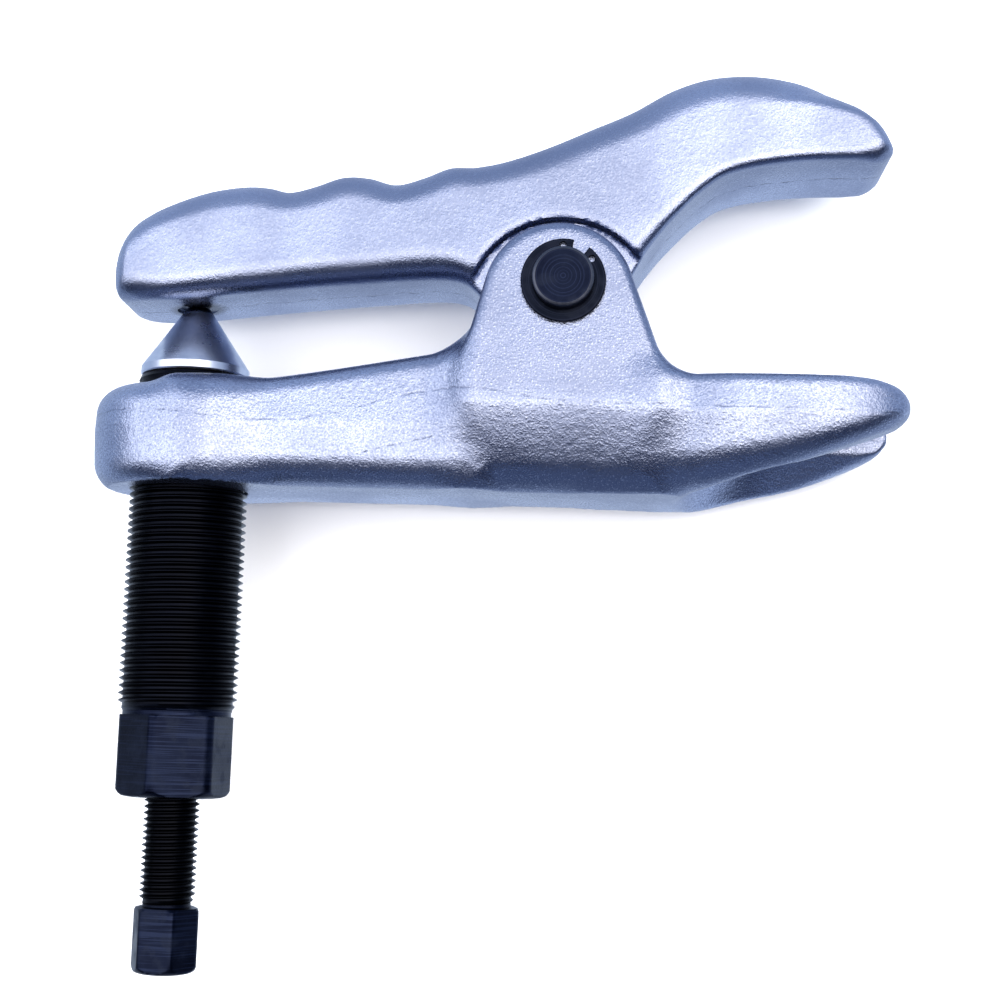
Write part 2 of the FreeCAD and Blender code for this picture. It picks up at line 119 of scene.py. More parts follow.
class Outline:
    """Signed distance to a closed plane outline, looked up from a fine table."""

    def __init__(self, points, step=0.4, margin=14.0):
        corners = np.array(points, float)
        self.step = step
        self.low = corners.min(axis=0) - margin
        counts = np.ceil((corners.max(axis=0) + margin - self.low) / step).astype(int) + 1
        u = self.low[0] + step * np.arange(counts[0])[:, None]
        v = self.low[1] + step * np.arange(counts[1])[None, :]
        nearest = np.full(counts, 1e9)
        inside = np.zeros(counts, bool)
        for (ax, ay), (bx, by) in zip(corners, np.roll(corners, -1, axis=0)):
            dx, dy = bx - ax, by - ay
            length = dx * dx + dy * dy
            if length < 1e-12:
                continue
            t = np.clip(((u - ax) * dx + (v - ay) * dy) / length, 0.0, 1.0)
            nearest = np.minimum(nearest, np.hypot(u - ax - t * dx, v - ay - t * dy))
            if ay != by:
                level = (v >= min(ay, by)) & (v < max(ay, by))
                inside ^= level & (u < ax + (v - ay) * dx / dy)
        self.table = np.where(inside, -nearest, nearest)

    def __call__(self, u, v):
        i = np.clip((u - self.low[0]) / self.step, 0, self.table.shape[0] - 1.001)
        j = np.clip((v - self.low[1]) / self.step, 0, self.table.shape[1] - 1.001)
        a, b = i.astype(int), j.astype(int)
        s, t = i - a, j - b
        near = self.table[a, b] * (1 - s) + self.table[a + 1, b] * s
        far = self.table[a, b + 1] * (1 - s) + self.table[a + 1, b + 1] * s
        return near * (1 - t) + far * t


def net_over(solid, low, high, step):
    """Vertices and quads of the surface where solid(x, y, z) is zero."""
    axes = [np.arange(a - 1.5 * step, b + 2.5 * step, step) for a, b in zip(low, high)]
    x, y, z = np.meshgrid(*axes, indexing="ij")
    value = solid(x, y, z)
    inside = value < 0
    cells = tuple(n - 1 for n in value.shape)
    total = np.zeros(cells + (3,))
    count = np.zeros(cells)
    origin = np.array([a[0] for a in axes])
    index = np.stack(np.meshgrid(*[np.arange(n) for n in cells], indexing="ij"), axis=-1)
    for axis in range(3):
        others = [a for a in range(3) if a != axis]
        for corner in ((0, 0), (0, 1), (1, 0), (1, 1)):
            start = [0, 0, 0]
            start[others[0]], start[others[1]] = corner
            end = list(start)
            end[axis] = 1
            a = value[tuple(slice(s, s + n) for s, n in zip(start, cells))]
            b = value[tuple(slice(s, s + n) for s, n in zip(end, cells))]
            cross = (a < 0) != (b < 0)
            share = np.where(cross, a / np.where(cross, a - b, 1.0), 0.0)
            point = index + np.array(start, float)
            point[..., axis] += share
            total += np.where(cross[..., None], point, 0.0)
            count += cross
    used = count > 0
    number = np.full(cells, -1)
    number[used] = np.arange(used.sum())
    verts = origin + step * total[used] / count[used][:, None]
    quads = []
    for axis in range(3):
        u, v = [(1, 2), (2, 0), (0, 1)][axis]
        size = [n - 1 for n in cells]
        size[axis] = cells[axis]
        base = [1, 1, 1]
        base[axis] = 0
        here = tuple(slice(b, b + n) for b, n in zip(base, size))
        beyond = list(base)
        beyond[axis] += 1
        there = tuple(slice(b, b + n) for b, n in zip(beyond, size))
        flips = inside[here] != inside[there]
        outward = inside[here][flips]
        places = np.argwhere(flips) + np.array(base)

        def cell_at(du, dv):
            spot = places.copy()
            spot[:, u] -= du
            spot[:, v] -= dv
            return number[spot[:, 0], spot[:, 1], spot[:, 2]]

        ring = np.stack([cell_at(1, 1), cell_at(0, 1), cell_at(0, 0), cell_at(1, 0)], axis=1)
        ring[~outward] = ring[~outward][:, ::-1]
        quads.append(ring)
    return verts, np.vstack(quads)


def pull_onto(solid, verts, rounds=3, probe=0.05):
    """Move each vertex along the gradient until it lies on the zero surface."""
    for _ in range(rounds):
        x, y, z = verts.T
        value = solid(x, y, z)
        slope = np.stack([
            solid(x + probe, y, z) - solid(x - probe, y, z),
            solid(x, y + probe, z) - solid(x, y - probe, z),
            solid(x, y, z + probe) - solid(x, y, z - probe),
        ], axis=1) / (2 * probe)
        steep = np.maximum((slope ** 2).sum(axis=1), 0.15)
        shift = slope * (value / steep)[:, None]
        length = np.maximum(np.linalg.norm(shift, axis=1), 1e-9)
        verts = verts - shift * np.minimum(1.0, 0.5 / length)[:, None]
    return verts


# ---------------------------------------------------------------- meshes

def new_piece(name, verts, faces, place=PIVOT, sharp_degrees=32):
    """A mesh object from millimetres about a place, in metres of the row frame."""
    mesh = bpy.data.meshes.new(name)
    points = (np.array(verts, float) + np.array(place)) * MM
    mesh.from_pydata(points.tolist(), [], [list(map(int, face)) for face in faces])
    mesh.validate()
    piece = bpy.data.objects.new(name, mesh)
    bpy.context.scene.collection.objects.link(piece)
    shade(piece, sharp_degrees)
    return piece


def shade(piece, sharp_degrees):
    """Weld, face outwards, and shade smooth with hard edges kept hard."""
    work = bmesh.new()
    work.from_mesh(piece.data)
    bmesh.ops.remove_doubles(work, verts=work.verts, dist=2e-7)
    bmesh.ops.recalc_face_normals(work, faces=work.faces)
    limit = math.radians(sharp_degrees)
    for face in work.faces:
        face.smooth = True
    for edge in work.edges:
        edge.smooth = len(edge.link_faces) == 2 and edge.calc_face_angle(0.0) < limit
    work.to_mesh(piece.data)
    work.free()


def cut_with(piece, cutter, sharp_degrees=32):
    """Take one closed mesh out of another for good."""
    step = piece.modifiers.new("cut", "BOOLEAN")
    step.operation = "DIFFERENCE"
    step.solver = "EXACT"
    step.object = cutter
    bpy.context.view_layer.update()
    graph = bpy.context.evaluated_depsgraph_get()
    result = bpy.data.meshes.new_from_object(piece.evaluated_get(graph))
    piece.modifiers.clear()
    old = piece.data
    piece.data = result
    bpy.data.meshes.remove(old)
    bpy.data.objects.remove(cutter, do_unlink=True)
    shade(piece, sharp_degrees)


def ring_rows(profile, columns):
    """Levels of a turned piece from (radius, height) pairs, each the same all the way round."""
    return [[(radius, height)] * (columns + 1) for radius, height in profile]


def lathe(name, rows, place, axis="Y", sharp_degrees=32):
    """A closed piece from rows of (radius, height), each row one turn round the axis."""
    width = len(rows[0])
    verts, faces = [], []
    for row in rows:
        for k, (radius, height) in enumerate(row):
            angle = 2 * math.pi * k / (width - 1)
            verts.append((radius * math.sin(angle), height, radius * math.cos(angle)))
    for r in range(len(rows) - 1):
        for k in range(width - 1):
            here = r * width + k
            faces.append([here, here + 1, here + width + 1, here + width])
    if axis == "Z":
        verts = [(x, -z, y) for x, y, z in verts]
    return new_piece(name, verts, faces, place, sharp_degrees)


def turned(name, profile, place, axis="Y", columns=96, sharp_degrees=32):
    """A turned piece from (radius, height) pairs."""
    return lathe(name, ring_rows(profile, columns), place, axis, sharp_degrees)


# ---------------------------------------------------------------- forked arm

NECK_HALF = 18.4
EAR_HALF = 22.0
FLOOR = -40.4                            # the arm's flat underside
DRAFT = 0.05                             # slope of the forged sides, away from the parting height
PIN_BORE = 6.04
SCREW_PLACE = (SCREW[0], PIVOT[1], 0.0)  # on the screws' axis, level with the pivot
EYE_TOP, EYE_BOTTOM, EYE_RADIUS = -20.0, -41.3, 19.8
SLOT_HALF = 11.0
CLEVIS_HALF, CLEVIS_RADIUS = 12.0, 17.0
FUNNEL_TOP, FUNNEL_SLOPE = -27.3, 0.8
BREAK = -24.0                            # the parting height of the ear block and the tines
TWIST = 0.05                             # the tines' slight turn about their length


def fork_arm_solid():
    """Screw eye, neck, ear block and two tines, with the slot and the clevis carved out."""
    neck_end = -13.0                     # inside the ear block
    neck_side = Outline([(SCREW_X, FLOOR), (neck_end, FLOOR), (neck_end, -12.0)] + smooth_path(
        [(-22.0, -12.6), (-44.4, -16.7), (-58.0, -18.9), (-68.0, -20.1), (SCREW_X, -20.8)]))
    ear_foot = FLOOR - 0.4
    ear_side = Outline(arc_path((-0.8, -2.6), 15.0, 16, 167) + [
        (-18.4, -10.5), (-19.2, -18.0), (-19.2, ear_foot), (20.6, ear_foot), (20.6, -18.0), (19.4, -14.0)])
    tine_root, tine_foot = 5.0, FLOOR - 0.3
    tine_side = Outline([(tine_root, DECK), (56.0, DECK)] + smooth_path([
        (61.0, -18.8), (65.8, -19.8), (68.7, -21.6), (69.3, -23.6), (68.3, -25.7), (63.0, -28.6),
        (52.0, -33.0), (40.0, -37.0), (28.4, -39.9), (16.0, tine_foot)]) + [(tine_root, tine_foot)])
    flank = [(0.0, 14.5), (12.0, 16.8), (18.0, 19.2), (22.5, 21.1), (28.0, 22.8), (36.0, 23.8),
             (50.0, 23.9), (60.0, 22.6), (66.0, 19.8), (69.0, 16.0), (69.3, 12.0), (69.3, 0.0)]
    mirrored = [(x, -z) for x, z in reversed(flank)]
    tine_plan = Outline(smooth_path(flank) + smooth_path(mirrored))

    def solid(x, y, z):
        wide = np.abs(z)
        eye_level = np.abs(y - (EYE_TOP + EYE_BOTTOM) / 2) - (EYE_TOP - EYE_BOTTOM) / 2
        eye_side = np.hypot(x - SCREW_X, z) - EYE_RADIUS + DRAFT * np.abs(y + 29.0)
        eye = rounded(eye_side, eye_level, np.interp(y, [-34.0, -27.0], [5.6, 5.2]))

        below = np.maximum(BREAK - y, 0.0)
        narrowing = 0.055 * np.maximum(x + 24.0, 0.0) ** 2
        neck_width = NECK_HALF - DRAFT * np.abs(y + 28.0) - narrowing
        neck = rounded(neck_side(x, y), wide - neck_width, np.interp(y, [-36.0, -22.0], [6.5, 4.0]))

        ear_width = EAR_HALF - (0.25 + 0.011 * below) * below
        ears = rounded(ear_side(x, y), wide - ear_width, np.interp(y, [-32.0, -24.0], [6.0, 2.2]))

        widest = -25.0
        plan = tine_plan(x, z) + 0.22 * np.maximum(widest - y, 0.0) + 0.04 * np.maximum(y - widest, 0.0)
        top_edge, low_edge = 2.2, np.interp(x, [20.0, 65.0], [8.0, 3.0])
        edge = top_edge + (low_edge - top_edge) * np.clip((-23.0 - y) / 3.0, 0.0, 1.0)
        tines = rounded(plan, tine_side(x, y - TWIST * z), edge)

        body = joined(joined(joined(eye, neck, 7.0), ears, 8.0), tines, 6.5)
        body = np.maximum(body, FLOOR - y)

        slot = np.hypot(np.minimum(x - THROAT_X, 0.0), z) - SLOT_HALF
        funnel = (slot - FUNNEL_SLOPE * (FUNNEL_TOP - y)) / math.hypot(1.0, FUNNEL_SLOPE)
        body = carved(body, joined(slot, np.maximum(funnel, y - FUNNEL_TOP), 0.5), 1.3)

        open_above = -8.0 - y
        hub_space = np.minimum(np.hypot(x, y) - CLEVIS_RADIUS, open_above)
        return carved(body, np.maximum(hub_space, wide - CLEVIS_HALF), 1.2)

    return solid


def make_fork_arm():
    solid = fork_arm_solid()
    verts, faces = net_over(solid, (-98.0, -43.0, -26.0), (71.0, 14.0, 26.0), GRID)
    piece = new_piece("forked_arm", pull_onto(solid, verts), faces)
    cut_with(piece, pin_hole(30.0))
    eye, rim, beyond = 12.05, 1.1, 3.0
    cut_with(piece, turned("eye_cutter", [
        (0.0, EYE_BOTTOM - beyond), (eye + rim + beyond, EYE_BOTTOM - beyond), (eye, EYE_BOTTOM + rim),
        (eye, EYE_TOP - rim), (eye + rim + beyond, EYE_TOP + beyond),
        (0.0, EYE_TOP + beyond)], SCREW_PLACE))
    return piece


def pin_hole(reach):
    """A cutter for the pivot's bore."""
    profile = [(0.0, -reach), (PIN_BORE, -reach), (PIN_BORE, reach), (0.0, reach)]
    return turned("pin_cutter", profile, PIVOT, "Z")


# ---------------------------------------------------------------- lever

LEVER_HALF = 14.25
HUB_HALF = 11.7
POCKET_RADIUS = 19.2


def lever_solid():
    """Grip with finger hollows, hub and pressing nose, with a round pocket for each ear."""
    top = smooth_path([
        (-92.0, -2.4), (-93.8, 0.2), (-94.0, 5.2), (-91.6, 11.0), (-86.6, 15.4), (-80.1, 18.7),
        (-73.0, 21.1), (-66.0, 22.2), (-61.0, 22.0), (-56.9, 21.2), (-52.0, 22.4), (-46.0, 24.5),
        (-40.5, 24.4), (-35.0, 23.1), (-29.5, 24.6), (-24.0, 26.8), (-18.5, 27.1), (-12.0, 28.6),
        (-4.0, 31.6), (4.7, 35.6), (12.9, 39.4), (21.0, 44.2), (28.5, 46.9), (36.2, 47.7),
        (43.2, 47.1), (50.3, 45.1), (58.8, 40.3), (64.2, 35.7), (67.0, 32.4), (66.8, 30.2), (62.6, 28.7)])
    under = smooth_path([(62.6, 28.7), (55.3, 28.7), (45.0, 28.0), (34.0, 25.8), (27.8, 22.0), (21.5, 15.6),
                         (16.6, 9.3), (13.1, 3.2)])
    hub = arc_path((0.0, 0.0), 13.5, 8, -155)
    grip = smooth_path([(-12.4, -5.3), (-16.8, -0.5), (-23.5, 3.0), (-41.5, 1.9), (-62.0, -0.2),
                        (-80.0, -2.2), (-92.0, -2.4)])
    side = Outline(top + under + hub + grip)

    def solid(x, y, z):
        wide = np.abs(z)
        middle_line = np.interp(x, [-94.0, -24.0, 0.0, 20.0, 60.0], [7.0, 13.0, 18.0, 28.0, 37.0])
        upper = np.clip((y - middle_line) / 8.0, 0.0, 1.0)
        low_edge = np.interp(x, [-91.0, -82.0, -60.0, -25.0, 14.0, 24.0, 58.0, 65.0],
                             [5.5, 4.2, 5.0, 5.6, 3.0, 1.8, 1.7, 4.5])
        high_edge = np.interp(x, [-92.0, -84.0, -20.0, 25.0, 60.0], [8.0, 6.6, 6.2, 7.6, 8.0])
        edge = low_edge + (high_edge - low_edge) * upper
        nose_end, grip_end = 67.6, -94.2
        past_ends = np.maximum(x - nose_end, grip_end - x)
        plan = rounded(past_ends, wide - LEVER_HALF, np.interp(x, [-90.0, 60.0], [7.5, 5.0]))
        body = rounded(side(x, y), plan, edge)
        pocket = rounded(np.hypot(x + 0.5, y + 4.0) - POCKET_RADIUS, HUB_HALF - wide, 1.0)
        return carved(body, pocket, 0.9)

    return solid


def make_lever():
    solid = lever_solid()
    verts, faces = net_over(solid, (-96.0, -15.0, -15.5), (69.0, 49.0, 15.5), GRID)
    piece = new_piece("swing_lever", pull_onto(solid, verts), faces)
    cut_with(piece, pin_hole(20.0))
    ceiling, mouth, below = -1.4, 4.3, -8.0
    cut_with(piece, turned("dimple_cutter", [(0.0, below), (mouth + 1.0, below), (mouth, ceiling - 0.2),
                                             (mouth - 0.3, ceiling), (0.0, ceiling)], SCREW_PLACE))
    return piece


# ---------------------------------------------------------------- threads and hexagons

FLANK = [(0.0, 1.0), (0.31, 0.0), (0.41, 0.0), (0.72, 1.0)]   # share of a pitch, share of depth cut away


def thread_rows(crest, pitch, low, high, columns, runout=1.2):
    """Rows of a right-hand thread; every row is one edge of the thread, followed once round."""
    depth = 0.60 * pitch
    rows = []
    for turn in range(-2, int(math.ceil((high - low) / pitch)) + 1):
        for part, cut in FLANK:
            row = []
            for k in range(columns + 1):
                height = low + (turn + part + k / columns) * pitch
                grown = min(max(min(height - low, high - height) / (runout * pitch), 0.0), 1.0)
                radius = crest - depth * (1.0 - (1.0 - cut) * grown)
                row.append((radius, min(max(height, low), high)))
            rows.append(row)
    return rows


def hexagon_rows(flats, turn_degrees, profile, columns):
    """Rows of a hexagon milled on a turned bar: the bar's radius, or the flat where that is nearer."""
    rows = []
    for bar, height in profile:
        row = []
        for k in range(columns + 1):
            angle = 360.0 * k / columns - turn_degrees
            from_flat = math.radians((angle + 30.0) % 60.0 - 30.0)
            row.append((min(bar, flats / 2 / math.cos(from_flat)), height))
        rows.append(row)
    return rows


def eased(start, end, steps, bulge):
    """Profile points from start to end on a shallow arc, for a softly rounded edge."""
    points = []
    for i in range(steps + 1):
        t = i / steps
        lift = bulge * math.sin(math.pi * t)
        across, along = end[0] - start[0], end[1] - start[1]
        points.append((start[0] + across * t + lift, start[1] + along * t - lift))
    return points


def make_adjuster():
    """Hollow screw, M24 x 1.5, from the plain bore round both ends."""
    columns = 144
    crest, pitch, bore = 12.0, 1.5, 5.62
    top, thread_end, hex_top, end = -16.9, -85.4, -86.5, -102.9
    corner = 11.5
    foot = (corner - 2.6, end)
    rows = ring_rows([(bore, top - 1.0), (bore, end + 0.8), (bore + 0.8, end), foot], columns)
    flat_profile = eased(foot, (corner, end + 1.5), 8, 0.35) + [
        (corner, end + 4.0), (corner, hex_top - 1.0), (corner, hex_top - 0.12), (corner - 0.15, hex_top)]
    rows += hexagon_rows(20.6, 19.0, flat_profile, columns)
    neck = 10.95
    rows += ring_rows([(neck, hex_top), (neck, thread_end - 0.2), (neck + 0.15, thread_end)], columns)
    rows += thread_rows(crest, pitch, thread_end, top - 0.2, columns)
    rows += ring_rows([(crest - 0.95, top), (bore + 1.0, top), (bore, top - 1.0)], columns)
    return lathe("hollow_adjuster", rows, SCREW_PLACE)


def make_forcing_screw():
    """Screw, 7/16 - 20, with a small hexagon below and a grooved nose above."""
    columns = 144
    crest, pitch = 5.55, 1.27
    hex_top, end, shoulder = -124.7, -137.6, -17.6
    corner = 6.78
    foot = (corner - 2.2, end)
    rows = ring_rows([(0.0, end), foot], columns)
    flat_profile = eased(foot, (corner, end + 1.5), 8, 0.3) + [
        (corner, end + 3.0), (corner, hex_top - 1.6), (corner - 0.1, hex_top - 0.5),
        (corner - 0.5, hex_top), (corner - 1.4, hex_top + 0.25)]
    rows += hexagon_rows(12.0, -6.6, flat_profile, columns)
    rows += ring_rows([(4.85, hex_top + 0.3), (4.8, hex_top + 0.7)], columns)
    rows += thread_rows(crest, pitch, hex_top + 0.7, shoulder - 0.2, columns)
    nose, groove = 4.2, 3.4
    rows += ring_rows([(crest - 0.8, shoulder), (nose, shoulder), (nose, -15.3), (groove, -15.3),
                       (groove, -14.1), (nose, -14.1), (nose, -13.2), (nose - 0.2, -13.0)], columns)
    ball_cup = [(2.36, -13.0), (2.0, -13.36), (1.4, -13.76), (0.7, -14.02), (0.0, -14.1)]
    rows += ring_rows(ball_cup, columns)
    return lathe("push_screw", rows, SCREW_PLACE)


# ---------------------------------------------------------------- cone, pin and rings

def make_cone():
    """Pressure cone: blind bore with a groove for the wire ring, straight lip and blunt tip."""
    base, tip = -16.5, -1.7
    wide, narrow, bore = 11.15, 2.45, 4.55
    ceiling, wall, groove_top, groove_end = -8.0, 4.85, -14.2, -15.2
    lip = 1.9
    profile = [(0.0, ceiling), (bore, ceiling), (bore, groove_top), (wall, groove_top), (wall, groove_end),
               (bore, groove_end), (bore, base + 0.4), (bore + 0.4, base), (wide - 0.45, base),
               (wide - 0.2, base + 0.08), (wide, base + 0.35), (wide, base + lip - 0.1),
               (wide - 0.12, base + lip + 0.1), (narrow + 0.12, tip - 0.22), (narrow, tip - 0.05),
               (narrow - 0.12, tip), (0.0, tip)]
    return turned("cone_cap", profile, SCREW_PLACE, columns=144, sharp_degrees=25)


def make_pin():
    """Pivot pin with a groove near each end."""
    half, radius, edge = 26.5, 6.0, 0.55
    low, high, neck = 22.15, 23.25, 5.7
    upper = [(radius, low), (neck, low), (neck, high), (radius, high), (radius, half - edge),
             (radius - 0.18, half - 0.18), (radius - edge, half), (0.0, half)]
    lower = [(r, -h) for r, h in reversed(upper)]
    return turned("clevis_pin", lower + upper, PIVOT, "Z", columns=128, sharp_degrees=25)


def make_retaining_ring(name, side):
    """External retaining ring with two eyed ends, on one side of the clevis."""
    inner, outer, centre = 5.75, 8.35, math.radians(65.0)
    seat, thick = 22.2, 1.0
    level = side * (seat + thick / 2)

    def solid(x, y, z):
        reach = np.hypot(x, y)
        turn = np.abs((np.arctan2(y, x) - centre + math.pi) % (2 * math.pi) - math.pi)
        opening = (math.radians(11.5) - turn) * reach
        ring = np.maximum(np.abs(reach - (inner + outer) / 2) - (outer - inner) / 2, opening)
        bend = turn - math.radians(26.5)
        eye = np.hypot(bend * reach, reach - 7.0) - 0.62
        ring = carved(ring, eye, 0.1)
        return rounded(ring, np.abs(z - level) - thick / 2, 0.25)

    step = 0.18
    box, above = 8.6, thick / 2 + 0.1
    low = (-box, -box, level - above)
    high = (box, box, level + above)
    verts, faces = net_over(solid, low, high, step)
    return new_piece(name, pull_onto(solid, verts, probe=0.01), faces)


# ---------------------------------------------------------------- material nodes

class Finish:
    """A material under construction. Places are in millimetres from the pivot's axis."""

    def __init__(self, name, colour, metallic, roughness):
        self.material = bpy.data.materials.new(name)
        self.material.use_nodes = True
        self.tree = self.material.node_tree
        self.shader = self.tree.nodes["Principled BSDF"]
        self.shader.inputs["Base Color"].default_value = (*colour, 1.0)
        self.shader.inputs["Metallic"].default_value = metallic
        self.shader.inputs["Roughness"].default_value = roughness
        coords = self.tree.nodes.new("ShaderNodeTexCoord")
        scaled = self.tree.nodes.new("ShaderNodeVectorMath")
        scaled.operation = "MULTIPLY_ADD"
        self.tree.links.new(coords.outputs["Object"], scaled.inputs[0])
        scaled.inputs[1].default_value = (1 / MM, 1 / MM, 1 / MM)
        scaled.inputs[2].default_value = [-c for c in PIVOT]
        self.place = scaled.outputs["Vector"]
        parts = self.tree.nodes.new("ShaderNodeSeparateXYZ")
        self.tree.links.new(self.place, parts.inputs[0])
        self.x, self.y, self.z = parts.outputs

    def put(self, value, socket):
        """A number or another node's output, into a socket."""
        if isinstance(value, (int, float, tuple)):
            socket.default_value = value
        else:
            self.tree.links.new(value, socket)

    def sum(self, operation, *values):
        """A Math node."""
        made = self.tree.nodes.new("ShaderNodeMath")
        made.operation = operation
        for value, socket in zip(values, made.inputs):
            self.put(value, socket)
        return made.outputs[0]

    def remap(self, value, low, high, first=0.0, last=1.0):
        """The value's range low to high, eased onto first to last."""
        made = self.tree.nodes.new("ShaderNodeMapRange")
        made.interpolation_type = "SMOOTHSTEP"
        for value, socket in zip((value, low, high, first, last), made.inputs):
            self.put(value, socket)
        return made.outputs[0]

    def reach(self, first, second):
        """Distance from an axis, from the two parts of the place across it."""
        squares = [self.sum("MULTIPLY", part, part) for part in (first, second)]
        return self.sum("SQRT", self.sum("ADD", *squares))

    def both(self, first, second):
        """The product of two shares, full only where both are."""
        return self.sum("MULTIPLY", first, second)

    def band(self, value, centre, inner, outer, strength):
        """The strength within inner of the centre, easing to nothing at outer."""
        away = self.sum("ABSOLUTE", self.sum("SUBTRACT", value, centre))
        return self.remap(away, inner, outer, strength, 0.0)

    def along_y(self, squeeze):
        """The place, squeezed in every direction but y."""
        made = self.tree.nodes.new("ShaderNodeVectorMath")
        made.operation = "MULTIPLY"
        self.put(self.place, made.inputs[0])
        made.inputs[1].default_value = (squeeze, 1.0, squeeze)
        return made.outputs[0]

    def noise(self, grain, detail=2.0, where=None):
        """Noise from 0 to 1 with grains of that many millimetres."""
        made = self.tree.nodes.new("ShaderNodeTexNoise")
        self.put(where or self.place, made.inputs["Vector"])
        made.inputs["Scale"].default_value = 1.0 / grain
        made.inputs["Detail"].default_value = detail
        return made.outputs[0]

    def path(self, points, low, high, floor, ceiling):
        """A height that follows x through given points."""
        made = self.tree.nodes.new("ShaderNodeFloatCurve")
        curve = made.mapping.curves[0]
        spots = [((x - low) / (high - low), (y - floor) / (ceiling - floor)) for x, y in points]
        curve.points[0].location = spots[0]
        curve.points[1].location = spots[-1]
        for spot in spots[1:-1]:
            curve.points.new(*spot)
        made.mapping.update()
        share = self.sum("DIVIDE", self.sum("SUBTRACT", self.x, low), high - low)
        self.put(share, made.inputs["Value"])
        return self.sum("MULTIPLY_ADD", made.outputs[0], ceiling - floor, floor)

    def facing(self, axis):
        """How far the surface faces along an axis, from -1 to 1."""
        geometry = self.tree.nodes.new("ShaderNodeNewGeometry")
        turned_back = self.tree.nodes.new("ShaderNodeVectorTransform")
        turned_back.vector_type = "NORMAL"
        turned_back.convert_from = "WORLD"
        turned_back.convert_to = "OBJECT"
        self.tree.links.new(geometry.outputs["Normal"], turned_back.inputs[0])
        parts = self.tree.nodes.new("ShaderNodeSeparateXYZ")
        self.tree.links.new(turned_back.outputs[0], parts.inputs[0])
        return parts.outputs["XYZ".index(axis)]

    def blend(self, share, first, second):
        """From the first colour to the second."""
        made = self.tree.nodes.new("ShaderNodeMix")
        made.data_type = "RGBA"
        self.put(share, made.inputs["Factor"])
        for colour, socket in ((first, made.inputs[6]), (second, made.inputs[7])):
            self.put((*colour, 1.0) if isinstance(colour, tuple) else colour, socket)
        return made.outputs[2]

    def bump(self, height, depth, below=None):
        """Raise the surface by the height, up to a depth in millimetres, over an earlier bump."""
        made = self.tree.nodes.new("ShaderNodeBump")
        made.inputs["Distance"].default_value = depth * MM
        made.inputs["Strength"].default_value = 1.0
        self.put(height, made.inputs["Height"])
        if below:
            self.put(below, made.inputs["Normal"])
        return made.outputs[0]

    def finish(self, colour=None, roughness=None, normal=None):
        for value, socket in ((colour, "Base Color"), (roughness, "Roughness"), (normal, "Normal")):
            if value is not None:
                self.put(value, self.shader.inputs[socket])
        return self.material


# ---------------------------------------------------------------- materials

BRIGHT = (0.365, 0.415, 0.575)
# Darker tone, used for random patches and also as painted shade.
DULL_AND_SHADE = (0.20, 0.235, 0.355)
# Painted glints.
GLINT = (0.51, 0.56, 0.70)
# Dark seams, also used as painted shadow.
GRIME_AND_SHADOW = (0.03, 0.045, 0.09)
# Painted shade for surfaces that face down.
SHADY = (0.12, 0.15, 0.25)


def plated_forging(name, seam, darkening_and_shade, lump_depth, blast_depth, sparkle):
    """Satin zinc plate on a shot-blasted forging: pebbled, with painted glints on its grains and painted
    shade in its hollows.
    """
    m = Finish(name, BRIGHT, 1.0, 0.32)
    blasted = m.noise(0.38, 3.0)
    lumps = m.noise(1.3, 2.0)
    waves = m.noise(11.0, 1.0)
    patches = m.noise(16.0, 3.0)
    line = seam(m)
    normal = m.bump(waves, 0.25)
    normal = m.bump(lumps, lump_depth, normal)
    normal = m.bump(blasted, blast_depth, normal)
    normal = m.bump(line, -0.10, normal)
    colour = m.blend(m.remap(patches, 0.35, 0.75, 0.0, 0.5), BRIGHT, DULL_AND_SHADE)
    # Painted shade on the arm's ear block and screw boss, besides plain darker places.
    colour = m.blend(darkening_and_shade(m), colour, DULL_AND_SHADE)
    # Painted shade: surfaces that face down are darkened, more so towards +z.
    underside_shade = m.remap(m.facing("Y"), -0.8, -0.35, 0.75, 0.0)
    colour = m.blend(m.both(underside_shade, m.remap(m.z, -8.0, 12.0)), colour, SHADY)
    # Painted shade in the pits of the blasting and painted glints on its grains.
    colour = m.blend(m.remap(blasted, 0.34, 0.54, sparkle, 0.0), colour, DULL_AND_SHADE)
    colour = m.blend(m.remap(blasted, 0.54, 0.72, 0.0, 0.8 * sparkle), colour, GLINT)
    # Dark flash lines and a scratch, and on the lever the painted shadow in its dimple.
    colour = m.blend(line, colour, GRIME_AND_SHADOW)
    rough = m.sum("ADD", m.remap(patches, 0.3, 0.7, 0.25, 0.33), m.remap(blasted, 0.3, 0.7, 0.06, -0.05))
    return m.finish(colour, rough, normal)


def arm_darkening_and_shade(m):
    """Darker ears, painted shade on the ear block below its parting height, and a painted shade stripe up
    the middle of the screw boss.
    """
    ears = m.both(m.band(m.x, 0.0, 15.0, 24.0, 0.75), m.remap(m.y, -26.0, -20.0))
    # Painted shade on the ear block's sloped face below its parting height.
    block = m.both(m.band(m.x, 0.0, 17.0, 22.0, 0.7), m.remap(m.y, -27.0, -24.5, 1.0, 0.0))
    # Painted shade: a darker stripe up the middle of the screw boss.
    stripe = m.band(m.x, -72.5, 1.0, 4.5, 0.5)
    return m.sum("MAXIMUM", m.sum("MAXIMUM", ears, stripe), block)


def lever_darkening(m):
    """Darker above the hub, easing off towards the nose and the grip."""
    return m.both(m.remap(m.x, 5.0, 32.0, 0.6, 0.0), m.remap(m.x, -70.0, -25.0, 0.25, 1.0))


def broken(m, distance, width, strength, grain=3.0):
    """A thin line that fades in and out along its length, from the distance to its middle."""
    thin = m.remap(m.sum("ABSOLUTE", distance), 0.0, width, strength, 0.0)
    return m.both(thin, m.remap(m.noise(grain, 3.0), 0.36, 0.66, 0.05, 1.0))


